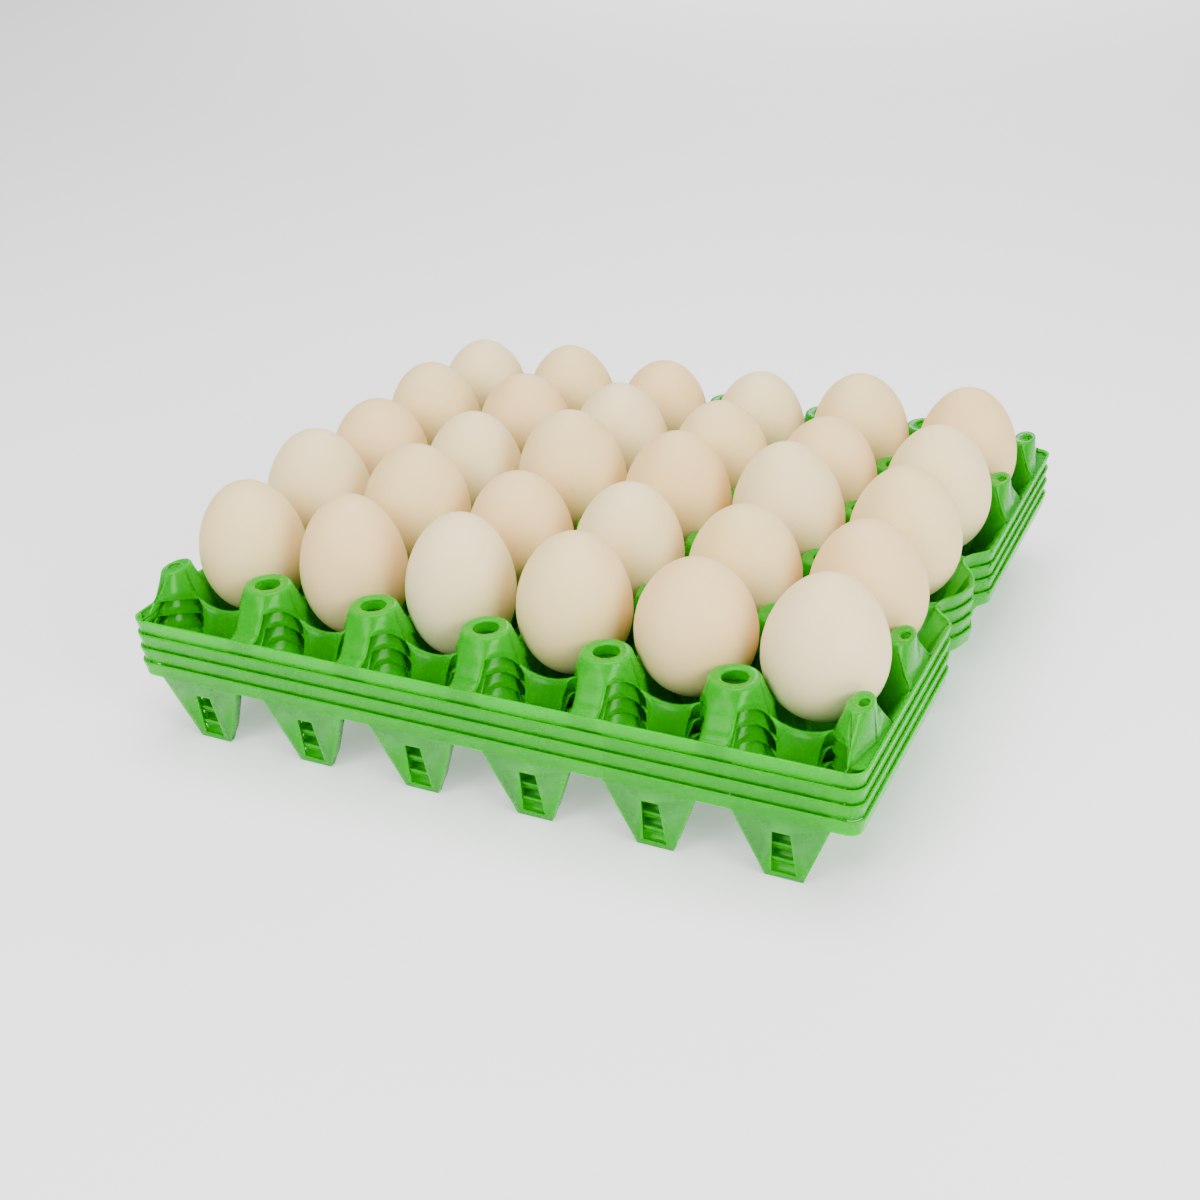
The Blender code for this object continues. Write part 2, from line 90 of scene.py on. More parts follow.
# Rim wall, measured outwards from the outer pillar lines.
SIDE_MARGIN = 4.5 * MM
FRONT_MARGIN = 22.55 * MM
CORNER_RADIUS = 6.0 * MM
CORNER_STEPS = 8
LEDGE_WIDTH = 2.3 * MM
LEDGE_CORNER = 3.4 * MM
WALL_BITE = 0.95 * MM
FRONT_BITE = 0.4 * MM
STRIP_HALF = 5.5 * MM
SIDE_STRIP_HALF = 7.0 * MM
CORNER_STRIP_EDGE = 1.5 * MM
CORNER_STRIP_TURN = 12.0
TOOTH_TOP_GAP = 6.5 * MM
TROUGH_INNER = 14.6 * MM
RETURN_BEND_Z = 7.0 * MM
RETURN_DEPTH = 5.5 * MM
RETURN_FOOT_DEPTH = 2.6 * MM
RETURN_DRAW = 0.96
WINDOW_LOW_Z = 2.2 * MM
WINDOW_HIGH_Z = 21.5 * MM
WINDOW_LOW_HALF = 4.6 * MM
WINDOW_HIGH_HALF = 3.3 * MM

# Finger recess beside the third pillar line: how far in, and how far along from that line.
RECESS = (
    (0.0 * MM, -8.2 * MM),
    (9.0 * MM, 0.5 * MM),
    (9.0 * MM, 6.5 * MM),
    (2.4 * MM, 15.0 * MM),
    (0.0 * MM, PITCH / 2),
)
RECESS_ROW = 2

# Eggs: widest diameter and length of each, row by row from the front, left to right.
EGG_DIAMETERS = (
    (43.2, 42.5, 42.5, 43.5, 45.0, 45.0),
    (45.0, 45.1, 43.4, 43.8, 44.1, 44.4),
    (43.9, 43.5, 46.6, 45.3, 45.6, 44.4),
    (43.5, 44.1, 44.1, 43.4, 43.7, 44.1),
    (42.2, 42.8, 42.2, 42.2, 43.4, 43.2),
)
EGG_LENGTHS = (
    (55.2, 58.3, 59.5, 56.9, 51.5, 54.6),
    (57.0, 57.1, 53.4, 55.6, 54.1, 53.7),
    (54.8, 54.3, 59.5, 56.9, 57.8, 55.6),
    (55.3, 55.4, 56.3, 54.0, 52.8, 55.2),
    (51.5, 53.7, 51.9, 52.2, 56.4, 55.3),
)
EGG_SIDES = 48
EGG_RINGS = 32
EGG_TAPER = 0.08
EGG_TAPER_SPREAD = 0.04
EGG_TILT = math.radians(4.0)
EGG_GAP = 0.35 * MM
EGG_SEED = 30
SEAT_SAMPLES = 24

# How a front strip falls away from its pillar: distance forward and height.
STRIP_PROFILE = (
    (12.2 * MM, 42.2 * MM),
    (13.3 * MM, 40.1 * MM),
    (14.9 * MM, 37.5 * MM),
    (16.6 * MM, 35.4 * MM),
    (18.3 * MM, 34.1 * MM),
    (FRONT_MARGIN - LEDGE_WIDTH, LEDGE_Z + 0.1 * MM),
    (FRONT_MARGIN - FRONT_BITE, LEDGE_Z + 0.05 * MM),
)
STRIP_SAG = 0.75 * MM

# The upper edge of the window beside a strip: degrees from the crest, radius and height.
BROW = (
    (0.0, CREST_START, CREST_END_Z),
    (10.0, 12.4 * MM, 37.4 * MM),
    (28.0, 11.9 * MM, 40.3 * MM),
    (46.0, 11.9 * MM, 41.3 * MM),
    (65.7, 13.38 * MM, 41.45 * MM),
)
BROW_STEPS = 10

# How finely the sheet is drawn.
QUADRANT_STEPS = 16
WEB_STATIONS = (0.0, 0.05, 0.12, 0.24, 0.44, 0.66, 0.85, 0.94, 1.0)
WEB_RIDGE = 0.12
WEB_FOOT = 0.08
WEB_END_CUT = 4.6 * MM
WEB_END_TURN = 6
CREST_STATIONS = (0.0, 0.16, 0.33, 0.5, 0.67, 0.84, 1.0)
FLANK_STATIONS = (0.0, 0.3, 0.62, 1.0)
SKIRT_STATIONS = (0.0, 0.12, 0.4, 0.7, 1.0)
STRIP_STEPS = 6
STRIP_ROUNDING = 6
CORNER_SIDE_STEPS = 10
CORNER_STRIP_STEPS = 6
CORNER_BROW_STEPS = 8
CORNER_FLANK_STATIONS = (0.0, 0.2, 0.4, 0.62, 0.8, 1.0)

# How far each flank flares out on its way down.
FRONT_FLARE = 0.12
SIDE_FLARE = 0.15
INNER_FLARE = 0.18
CORNER_FLARE = 0.3

# Where the waist of a half pillar sits on its inner side: share of the way down, and extra drop.
SIDE_WAIST_SHARE = 0.55
SIDE_WAIST_DROP = 0.15

# The upper edge of the window in a corner pillar: where it leaves the strip, and its bulge.
CORNER_BROW_SHARE = 0.62
CORNER_BROW_BULGE = (2.0 * MM, -1.6 * MM, 1.5 * MM)


def mix(a, b, share):
    return a + (b - a) * share


def between(point_a, point_b, share):
    return tuple(mix(a, b, share) for a, b in zip(point_a, point_b))


class Sheet:
    """An open sheet made of polygons that share their corners."""

    def __init__(self):
        self.mesh = bmesh.new()
        self.corners = {}

    def corner(self, point):
        key = tuple(round(value * 1e6) for value in point)
        if key not in self.corners:
            self.corners[key] = self.mesh.verts.new(point)
        return self.corners[key]

    def face(self, *points):
        corners = []
        for point in points:
            corner = self.corner(point)
            if corner not in corners:
                corners.append(corner)
        if len(corners) > 2 and self.mesh.faces.get(corners) is None:
            self.mesh.faces.new(corners)

    def patch(self, rows, skip=lambda down, across: False):
        """Quads between rows of points that all have the same count."""
        for down in range(len(rows) - 1):
            for across in range(len(rows[down]) - 1):
                if not skip(down, across):
                    upper = rows[down]
                    lower = rows[down + 1]
                    self.face(upper[across], upper[across + 1], lower[across + 1], lower[across])

    def fan(self, middle, points):
        for first, second in zip(points, points[1:]):
            self.face(middle, first, second)

    def finish(self, name, facing):
        """Turn every face to the side that facing picks, and hand over the mesh."""
        bmesh.ops.remove_doubles(self.mesh, verts=self.mesh.verts, dist=0.00001)
        bmesh.ops.recalc_face_normals(self.mesh, faces=self.mesh.faces)
        turned = sum(facing(face) * face.calc_area() for face in self.mesh.faces)
        if turned < 0:
            bmesh.ops.reverse_faces(self.mesh, faces=self.mesh.faces)
        data = bpy.data.meshes.new(name)
        self.mesh.to_mesh(data)
        self.mesh.free()
        data.shade_smooth()
        return data


def pillar_axis(column, row):
    return Vector(((column - HALF_COLUMNS) * PITCH, (row - HALF_ROWS) * PITCH, 0.0))


def at(axis, x, y, z):
    return (axis.x + x, axis.y + y, z)


def side_line():
    """How far out the sheet reaches into the side wall, from the outer pillar line."""
    return -(SIDE_MARGIN - WALL_BITE)


def front_line():
    return -(FRONT_MARGIN - FRONT_BITE)


def ledge_side():
    return -(SIDE_MARGIN - LEDGE_WIDTH)


def ledge_front():
    return -(FRONT_MARGIN - LEDGE_WIDTH)


def softened(points, rounds=2):
    """The open line with its corners cut off in each round, so that it bends smoothly."""
    for _ in range(rounds):
        cut = [points[0]]
        for first, second in zip(points, points[1:]):
            cut.append(mix(first, second, 0.25))
            cut.append(mix(first, second, 0.75))
        cut.append(points[-1])
        points = cut
    return points


def recess_line():
    """The smooth plan of half a finger recess, as points in from and along the side wall."""
    straight = [Vector((0.0, RECESS[0][1] - 8.0 * MM))]
    straight.extend(Vector(point) for point in RECESS)
    return softened(straight)


def shoulder(column, row, along_x, along_y):
    """The point of a crest next to a pillar, in one of the four crest directions."""
    axis = pillar_axis(column, row)
    if column == 0 and along_y:
        if row == RECESS_ROW:
            inset, along = RECESS[0] if along_y < 0 else RECESS[3]
            return at(axis, side_line() + inset, along, LEDGE_Z)
        return at(axis, side_line(), along_y * CREST_START, LEDGE_Z)
    height = RECESS_CREST_Z if (column, row) == (0, RECESS_ROW) else CREST_END_Z
    return at(axis, along_x * CREST_START, along_y * CREST_START, height)


def cup_corner(column, row, side_x, side_y):
    return at(pillar_axis(column, row), side_x * CUP_CORNER, side_y * CUP_CORNER, FLOOR_Z)


def web_fall(share):
    """How far down a web has come, from its rounded ridge to its rounded foot."""
    steep = 1 / (1 - WEB_RIDGE / 2 - WEB_FOOT / 2)
    if share < WEB_RIDGE:
        return steep * share * share / (2 * WEB_RIDGE)
    if share > 1 - WEB_FOOT:
        return 1 - steep * (1 - share) ** 2 / (2 * WEB_FOOT)
    return steep * (share - WEB_RIDGE / 2)


def crest_points(start, end, level):
    """A crest from one pillar to the next, sagging to its saddle unless it lies on the wall."""
    points = []
    for share in CREST_STATIONS:
        x, y, z = between(start, end, share)
        if not level:
            z = mix(SADDLE_Z, z, (2 * share - 1) ** 2)
        points.append((x, y, z))
    return points


def web_rows(top, bottom_start, bottom_end):
    rows = []
    for fall in WEB_STATIONS:
        row = []
        for share, (x, y, z) in zip(CREST_STATIONS, top):
            low_x, low_y, low_z = between(bottom_start, bottom_end, share)
            row.append((mix(x, low_x, fall), mix(y, low_y, fall), mix(z, low_z, web_fall(fall))))
        rows.append(row)
    return rows


def add_cup(sheet, column, row):
    """The floor and the sloping webs of one cup."""
    low_left = cup_corner(column, row, 1, 1)
    low_right = cup_corner(column + 1, row, -1, 1)
    high_right = cup_corner(column + 1, row + 1, -1, -1)
    high_left = cup_corner(column, row + 1, 1, -1)
    floor_rows = []
    for share in CREST_STATIONS:
        start = between(low_left, high_left, share)
        end = between(low_right, high_right, share)
        floor_rows.append([between(start, end, across) for across in CREST_STATIONS])
    sheet.patch(floor_rows)
    webs = [
        ((column, row), (1, 0), low_left, low_right, False),
        ((column, row), (0, 1), low_left, high_left, column == 0),
        ((column + 1, row), (0, 1), low_right, high_right, False),
    ]
    if row < RECESS_ROW:
        webs.append(((column, row + 1), (1, 0), high_left, high_right, False))
    for (from_column, from_row), (step_x, step_y), low_start, low_end, level in webs:
        start = shoulder(from_column, from_row, step_x, step_y)
        end = shoulder(from_column + step_x, from_row + step_y, -step_x, -step_y)
        if level and from_row == RECESS_ROW:
            add_bulge_web(sheet, low_start, low_end)
            continue
        sheet.patch(web_rows(crest_points(start, end, level), low_start, low_end))


def add_bulge_web(sheet, low_start, low_end):
    """The web of the middle side cup, whose wall bulges out between the two recesses."""
    axis = pillar_axis(0, RECESS_ROW)
    line = [point for point in recess_line() if point.y > RECESS[3][1]]
    line = [Vector(RECESS[3])] + line
    line += [Vector((point.x, PITCH - point.y)) for point in reversed(line[:-1])]
    span = line[-1].y - line[0].y
    rows = []
    for fall in WEB_STATIONS:
        row = []
        for point in line:
            low = between(low_start, low_end, (point.y - line[0].y) / span)
            high = at(axis, side_line() + point.x, point.y, LEDGE_Z)
            x, y, _ = between(high, low, fall)
            row.append((x, y, mix(high[2], low[2], web_fall(fall))))
        rows.append(row)
    sheet.patch(rows)


def ring_point(column, angle, radius, height):
    """A point round a pillar's axis. A half pillar is an oval drawn in against the wall."""
    if column:
        return (radius * math.cos(angle), radius * math.sin(angle), height)
    share = (radius - HOLE_RADIUS) / (PILLAR_RADIUS - HOLE_RADIUS)
    centre = mix(HALF_HOLE_CENTRE, HALF_PILLAR_MIDDLE, share)
    reach = mix(HALF_HOLE_RADIUS, HALF_PILLAR_REACH, share)
    width = mix(HALF_HOLE_RADIUS * HALF_HOLE_STRETCH, HALF_PILLAR_WIDTH, share)
    return (centre + reach * math.cos(angle), width * math.sin(angle), height)


TOP_PROFILE = (
    (HOLE_RADIUS, PILLAR_TOP_Z - 0.9 * MM),
    (HOLE_RADIUS + 0.1 * MM, PILLAR_TOP_Z - 0.35 * MM),
    (HOLE_RADIUS + 0.45 * MM, PILLAR_TOP_Z),
    (PILLAR_RADIUS - 1.3 * MM, PILLAR_TOP_Z),
    (PILLAR_RADIUS - 0.5 * MM, PILLAR_TOP_Z - 0.22 * MM),
    (PILLAR_RADIUS, PILLAR_TOP_Z - 0.8 * MM),
)


def quadrant_angles(side_x, side_y, start=0.0, stop=90.0, steps=QUADRANT_STEPS):
    """Angles from the crest along X towards the crest along Y, in one quadrant."""
    angles = []
    for step in range(steps + 1):
        turn = math.radians(mix(start, stop, step / steps))
        angles.append(math.atan2(side_y * math.sin(turn), side_x * math.cos(turn)))
    return angles


def add_pillar_top(sheet, axis, column, angles):
    rows = []
    for radius, height in TOP_PROFILE:
        rows.append([at(axis, *ring_point(column, angle, radius, height)) for angle in angles])
    sheet.patch(rows)
    return rows[-1]


def loft(sheet, top, bottom, stations, hollow, skip=lambda down, across: False):
    """A surface from one line of points down to another. Hollow above 0 makes it flare out."""
    rows = []
    for share in stations:
        fall = share + hollow * share * (1 - share)
        rows.append(
            [(*between(a[:2], b[:2], share), mix(a[2], b[2], fall)) for a, b in zip(top, bottom)]
        )
    sheet.patch(rows, skip)


def corner_path(column, row, side_x, side_y):
    """The edges of the two webs that meet at a cup's corner, from the crest along X round."""
    low = cup_corner(column, row, side_x, side_y)
    first = shoulder(column, row, side_x, 0)
    last = shoulder(column, row, 0, side_y)
    path = []
    for fall in WEB_STATIONS:
        x, y, _ = between(first, low, fall)
        path.append((x, y, mix(first[2], low[2], web_fall(fall))))
    for fall in reversed(WEB_STATIONS[:-1]):
        x, y, _ = between(last, low, fall)
        path.append((x, y, mix(last[2], low[2], web_fall(fall))))
    return path


def add_inner_quadrant(sheet, column, row, side_x, side_y):
    """A quarter of a pillar, down to the corner of the cup beside it, with its window."""
    axis = pillar_axis(column, row)
    angles = quadrant_angles(side_x, side_y)
    ring = add_pillar_top(sheet, axis, column, angles)
    path = corner_path(column, row, side_x, side_y)
    waist = []
    for index, (angle, top, low) in enumerate(zip(angles, ring, path)):
        bulk = abs(math.sin(2 * angle))
        radius = mix(WAIST_RADIUS, SHOULDER_RADIUS, bulk)
        height = SHOULDER_Z
        place = axis.xy + radius * Vector((math.cos(angle), math.sin(angle)))
        if column == 0 and index > len(path) // 2:
            place = Vector(between(top[:2], low[:2], SIDE_WAIST_SHARE))
            height = mix(top[2], low[2], SIDE_WAIST_SHARE + SIDE_WAIST_DROP)
        waist.append((place.x, place.y, height))
    loft(sheet, ring, waist, FLANK_STATIONS, INNER_FLARE)
    middle = len(path) // 2

    def window(down, across):
        open_here = down == 1 and middle - 4 <= across < middle + 4
        return open_here and column > 0

    loft(sheet, waist, path, SKIRT_STATIONS, 0.0, window)


def strip_line(axis, half, y, z):
    """A line across half a front strip, from its rounded edge to its middle."""
    points = []
    for step in range(STRIP_STEPS + 1):
        share = 1 - step / STRIP_STEPS
        points.append(at(axis, half * share, -y, z - STRIP_SAG * share ** STRIP_ROUNDING))
    return points


def along_table(table, share):
    """A row of the table, or what lies between two rows, at a share of the way through it."""
    place = share * (len(table) - 1)
    index = min(int(place), len(table) - 2)
    return between(table[index], table[index + 1], place - index)


def brow_line(axis, side_x):
    """The upper edge of the window beside a strip, from the crest round to the strip."""
    points = []
    for step in range(BROW_STEPS + 1):
        turn, radius, z = along_table(BROW, step / BROW_STEPS)
        turn = math.radians(turn)
        points.append(at(axis, side_x * radius * math.cos(turn), -radius * math.sin(turn), z))
    return points


def add_front_quadrant(sheet, column, side_x):
    """The front quarter of a front pillar: its strip, and the open window beside the strip."""
    axis = pillar_axis(column, 0)
    edge = math.degrees(math.asin(STRIP_HALF / PILLAR_RADIUS))
    window_angles = quadrant_angles(side_x, -1, 0.0, 90.0 - edge, BROW_STEPS)
    ring = add_pillar_top(sheet, axis, column, window_angles)
    loft(sheet, ring, brow_line(axis, side_x), FLANK_STATIONS, FRONT_FLARE)
    strip_angles = quadrant_angles(side_x, -1, 90.0 - edge, 90.0, STRIP_STEPS)
    ring = add_pillar_top(sheet, axis, column, strip_angles)
    rows = [strip_line(axis, side_x * STRIP_HALF, y, z) for y, z in STRIP_PROFILE]
    loft(sheet, ring, rows[0], FLANK_STATIONS, FRONT_FLARE)
    sheet.patch(rows)


def add_side_quadrant(sheet, row, side_y):
    """The outer quarter of a half pillar, sloping down to the ledge along the side wall."""
    axis = pillar_axis(0, row)
    angles = quadrant_angles(-1, side_y)
    ring = add_pillar_top(sheet, axis, 0, angles)
    ledge_middle = at(axis, ledge_side(), 0.0, LEDGE_Z)
    ledge_end = at(axis, ledge_side(), side_y * SIDE_STRIP_HALF, LEDGE_Z)
    behind = shoulder(0, row, 0, side_y)
    half = QUADRANT_STEPS // 2
    foot = [between(ledge_middle, ledge_end, step / half) for step in range(half + 1)]
    foot += [between(ledge_end, behind, step / half) for step in range(1, half + 1)]
    loft(sheet, ring, foot, FLANK_STATIONS, SIDE_FLARE)
    wall_middle = at(axis, side_line(), 0.0, LEDGE_Z)
    wall_end = at(axis, side_line(), side_y * SIDE_STRIP_HALF, LEDGE_Z)
    for step in range(half):
        share = step / half
        after = (step + 1) / half
        sheet.face(
            between(ledge_middle, ledge_end, share),
            between(ledge_middle, ledge_end, after),
            between(wall_middle, wall_end, after),
            between(wall_middle, wall_end, share),
        )
    sheet.fan(wall_end, foot[half:])


def add_corner_pillar_front(sheet):
    """The outer front quarter of the corner pillar, which ends on a slanting ledge."""
    axis = pillar_axis(0, 0)
    wall_x = side_line()
    wall_y = front_line()
    ledge_middle = at(axis, ledge_side(), 0.0, LEDGE_Z)
    slant = at(axis, ledge_side() + LEDGE_CORNER, ledge_front() + LEDGE_CORNER, LEDGE_Z)
    strip_end = at(axis, CORNER_STRIP_EDGE, ledge_front(), LEDGE_Z)
    side_steps = CORNER_SIDE_STEPS
    strip_steps = CORNER_STRIP_STEPS
    foot = [between(ledge_middle, slant, step / side_steps) for step in range(side_steps + 1)]
    for step in range(1, strip_steps + 1):
        foot.append(between(slant, strip_end, step / strip_steps))
    edge = CORNER_STRIP_TURN
    count = len(foot) - 1
    turns = [math.radians(180 + (90 + edge) * step / count) for step in range(count + 1)]
    ring = add_pillar_top(sheet, axis, 0, turns)
    loft(sheet, ring, foot, CORNER_FLANK_STATIONS, CORNER_FLARE)
    turn_side = at(axis, wall_x, wall_y + CORNER_RADIUS, LEDGE_Z)
    turn_front = at(axis, wall_x + CORNER_RADIUS, wall_y, LEDGE_Z)
    wall_front = at(axis, CORNER_STRIP_EDGE, wall_y, LEDGE_Z)
    wall_middle = at(axis, wall_x, 0.0, LEDGE_Z)
    for step in range(side_steps):
        sheet.face(
            foot[step],
            foot[step + 1],
            between(wall_middle, turn_side, (step + 1) / side_steps),
            between(wall_middle, turn_side, step / side_steps),
        )
    sheet.face(slant, turn_front, turn_side)
    for step in range(strip_steps):
        sheet.face(
            foot[side_steps + step],
            foot[side_steps + step + 1],
            between(turn_front, wall_front, (step + 1) / strip_steps),
            between(turn_front, wall_front, step / strip_steps),
        )
    start = shoulder(0, 0, 1, 0)
    rest = []
    for step in range(CORNER_BROW_STEPS + 1):
        rest.append(math.radians(mix(edge - 90, 0.0, step / CORNER_BROW_STEPS)))
    ring = add_pillar_top(sheet, axis, 0, rest)
    last = between(ring[0], strip_end, CORNER_BROW_SHARE)
    brow = []
    for step in range(CORNER_BROW_STEPS + 1):
        share = step / CORNER_BROW_STEPS
        bulge = math.sin(math.pi * share)
        straight = between(last, start, share)
        brow.append(tuple(a + out * bulge for a, out in zip(straight, CORNER_BROW_BULGE)))
    loft(sheet, ring, brow, FLANK_STATIONS, INNER_FLARE)


def add_recess_corner(sheet):
    """The sheet behind the finger recess, where the tray has no half pillar."""
    axis = pillar_axis(0, RECESS_ROW)
    crest_end = shoulder(0, RECESS_ROW, 1, 0)
    line = [point for point in recess_line() if RECESS[0][1] < point.y < RECESS[3][1]]
    line = [Vector(RECESS[0])] + line + [Vector(RECESS[3])]
    near = [at(axis, side_line() + point.x, point.y, LEDGE_Z) for point in line]
    front_edge = []
    back_edge = []
    for fall in WEB_STATIONS:
        for edge, side_y in ((front_edge, -1), (back_edge, 1)):
            low = cup_corner(0, RECESS_ROW, 1, side_y)
            x, y, _ = between(crest_end, low, fall)
            edge.append((x, y, mix(crest_end[2], low[2], web_fall(fall))))
    turn = min(range(len(line)), key=lambda index: abs(line[index].y - RECESS[1][1]))
    leave = min(range(len(line)), key=lambda index: abs(line[index].y - RECESS[2][1]))
    low_front = cup_corner(0, RECESS_ROW, 1, -1)
    low_back = cup_corner(0, RECESS_ROW, 1, 1)
    sheet.fan(low_front, near[: turn + 1])
    sheet.fan(near[turn], front_edge)
    sheet.fan(crest_end, near[turn : leave + 1])
    sheet.fan(near[leave], back_edge)
    sheet.fan(low_back, near[leave:])


def add_front_trough(sheet, column):
    """The half cup between two front strips: its sloping web and its narrow floor."""
    left = pillar_axis(column, 0)
    right = pillar_axis(column + 1, 0)
    reach = -(FRONT_MARGIN - RIM_Z * math.tan(WALL_LEAN) - FRONT_BITE)
    near_left = at(left, CUP_CORNER, -TROUGH_INNER, TROUGH_FLOOR_Z)
    near_right = at(right, -CUP_CORNER, -TROUGH_INNER, TROUGH_FLOOR_Z)
    top = crest_points(shoulder(column, 0, 1, 0), shoulder(column + 1, 0, -1, 0), False)
    rows = []
    middle_x = (left.x + right.x) / 2
    for fall, row in zip(WEB_STATIONS, web_rows(top, near_left, near_right)):
        cut = WEB_END_CUT * ((1 - fall) - (1 - fall) ** WEB_END_TURN)
        reach_now = abs(row[0][0] - middle_x)
        squeeze = 1 - cut / reach_now
        rows.append([(middle_x + (x - middle_x) * squeeze, y, z) for x, y, z in row])
    sheet.patch(rows)
    far_left = at(left, CUP_CORNER, reach, TROUGH_FLOOR_Z)
    far_right = at(right, -CUP_CORNER, reach, TROUGH_FLOOR_Z)
    far = [between(far_left, far_right, share) for share in CREST_STATIONS]
    sheet.patch([rows[-1], far])


def quarter_sheet(name):
    """One quarter of a tray's moulded sheet, left and front of the middle."""
    sheet = Sheet()
    for column in range(HALF_COLUMNS + 1):
        for row in range(RECESS_ROW + 1):
            if (column, row) == (0, RECESS_ROW):
                add_recess_corner(sheet)
                continue
            for side_x in (-1, 1):
                if column == HALF_COLUMNS and side_x > 0:
                    continue
                for side_y in (-1, 1):
                    if column == 0 and side_x < 0:
                        if (row, side_y) != (0, -1):
                            add_side_quadrant(sheet, row, side_y)
                    elif row == 0 and side_y < 0:
                        if column > 0:
                            add_front_quadrant(sheet, column, side_x)
                    else:
                        add_inner_quadrant(sheet, column, row, side_x, side_y)
    add_corner_pillar_front(sheet)
    for column in range(HALF_COLUMNS):
        add_front_trough(sheet, column)
        for row in range(RECESS_ROW + 1):
            add_cup(sheet, column, row)
    return sheet.finish(name, lambda face: face.normal.z)


def rim_outline():
    """Plan of the rim from the middle of the front round to the middle of the left side."""
    front = -(HALF_ROWS * PITCH + FRONT_MARGIN)
    side = -(HALF_COLUMNS * PITCH + SIDE_MARGIN)
    points = [Vector((0.0, front))]
    for column in range(HALF_COLUMNS, -1, -1):
        middle = (column - HALF_COLUMNS) * PITCH
        if column < HALF_COLUMNS:
            points.append(Vector((middle + TOOTH_TOP_GAP, front)))
        if column > 0:
            points.append(Vector((middle - TOOTH_TOP_GAP, front)))
    for step in range(CORNER_STEPS + 1):
        angle = step * math.pi / 2 / CORNER_STEPS
        x = side + CORNER_RADIUS * (1 - math.sin(angle))
        y = front + CORNER_RADIUS * (1 - math.cos(angle))
        points.append(Vector((x, y)))
    line = (RECESS_ROW - HALF_ROWS) * PITCH
    points.extend(Vector((side + point.x, line + point.y)) for point in recess_line())
    return points


def drawn_in(points, depth):
    """The outline moved in by depth, square to each stretch."""
    moved = []
    for index, point in enumerate(points):
        before = points[max(index - 1, 0)]
        after = points[min(index + 1, len(points) - 1)]
        first = (point - before).normalized() if index else (after - point).normalized()
        second = (after - point).normalized() if index < len(points) - 1 else Vector((0.0, 1.0))
        if index == len(points) - 1:
            first = second
        square_a = Vector((-first.y, first.x))
        square_b = Vector((-second.y, second.x))
        mitre = (square_a + square_b).normalized()
        inward = mitre * (depth / mitre.dot(square_a))
        moved.append(point - inward if inward.dot(point) > 0 else point + inward)
    return moved


BAND_PROFILE = (
    (0.05, 0.0),
    (0.0, 0.35),
    (0.02, 1.0),
    (0.3, 2.0),
    (0.58, 3.1),
    (0.86, 4.5),
    (1.0, 5.8),
    (1.035, 6.25),
)


def tooth_corner(middle, half, height):
    front = -(HALF_ROWS * PITCH + FRONT_MARGIN)
    return (middle + half, front + (RIM_Z - height) * math.tan(WALL_LEAN), height)


def add_tooth_return(sheet, middle, edge):
    """The narrow face that runs back from a slanting edge of a tooth."""
    back = []
    for x, y, z in edge:
        depth = RETURN_DEPTH if z > 0 else RETURN_FOOT_DEPTH
        back.append((middle + (x - middle) * RETURN_DRAW, y + depth, z))
    sheet.patch([edge, back])


def quarter_wall(name):
    """One quarter of the rim wall: the lipped band, and teeth with a window in each."""
    sheet = Sheet()
    outline = rim_outline()
    rows = []
    for depth, drop in BAND_PROFILE:
        line = drawn_in(outline, depth * MM)
        rows.append([(point.x, point.y, RIM_Z - drop * MM) for point in line])
    sheet.patch(rows)
    band_z = RIM_Z - BAND_HEIGHT
    for column in range(HALF_COLUMNS):
        middle = (column + 0.5 - HALF_COLUMNS) * PITCH
        top_half = PITCH / 2 - TOOTH_TOP_GAP
        outer = [
            tooth_corner(middle, -top_half, band_z),
            tooth_corner(middle, top_half, band_z),
            tooth_corner(middle, CUP_FLOOR_HALF, 0.0),
            tooth_corner(middle, -CUP_FLOOR_HALF, 0.0),
        ]
        window = [
            tooth_corner(middle, -WINDOW_HIGH_HALF, WINDOW_HIGH_Z),
            tooth_corner(middle, WINDOW_HIGH_HALF, WINDOW_HIGH_Z),
            tooth_corner(middle, WINDOW_LOW_HALF, WINDOW_LOW_Z),
            tooth_corner(middle, -WINDOW_LOW_HALF, WINDOW_LOW_Z),
        ]
        bend_half = mix(CUP_FLOOR_HALF, top_half, RETURN_BEND_Z / band_z)
        bends = {
            1: tooth_corner(middle, bend_half, RETURN_BEND_Z),
            3: tooth_corner(middle, -bend_half, RETURN_BEND_Z),
        }
        for side in range(4):
            after = (side + 1) % 4
            edge = [outer[side], outer[after]]
            if side in bends:
                edge.insert(1, bends[side])
                add_tooth_return(sheet, middle, edge)
            sheet.face(*edge, window[after], window[side])
    return sheet.finish(name, lambda face: face.normal.dot(face.calc_center_median()))


def add_mirror_and_thickness(item, thickness):
    mirror = item.modifiers.new("four quarters", "MIRROR")
    mirror.use_axis = (True, True, False)
    mirror.use_bisect_axis = (True, True, False)
    mirror.use_bisect_flip_axis = (True, True, False)
    mirror.use_clip = True
    mirror.merge_threshold = 0.0001
    mirror.bisect_threshold = 0.00001
    shell = item.modifiers.new("sheet thickness", "SOLIDIFY")
    shell.thickness = thickness
    shell.offset = -1.0
    shell.use_even_offset = False


def add_tray(level, sheet_data, wall_data):
    node = f"tray_{level + 1}"
    for part, data, thickness in (("sheet", sheet_data, SHEET), ("rim", wall_data, WALL_SHEET)):
        piece = bpy.data.objects.new(f"{node}_{part}", data)
        piece.location.z = level * NEST_STEP
        bpy.context.scene.collection.objects.link(piece)
        add_mirror_and_thickness(piece, thickness)
        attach(piece, "root")
        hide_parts(node)


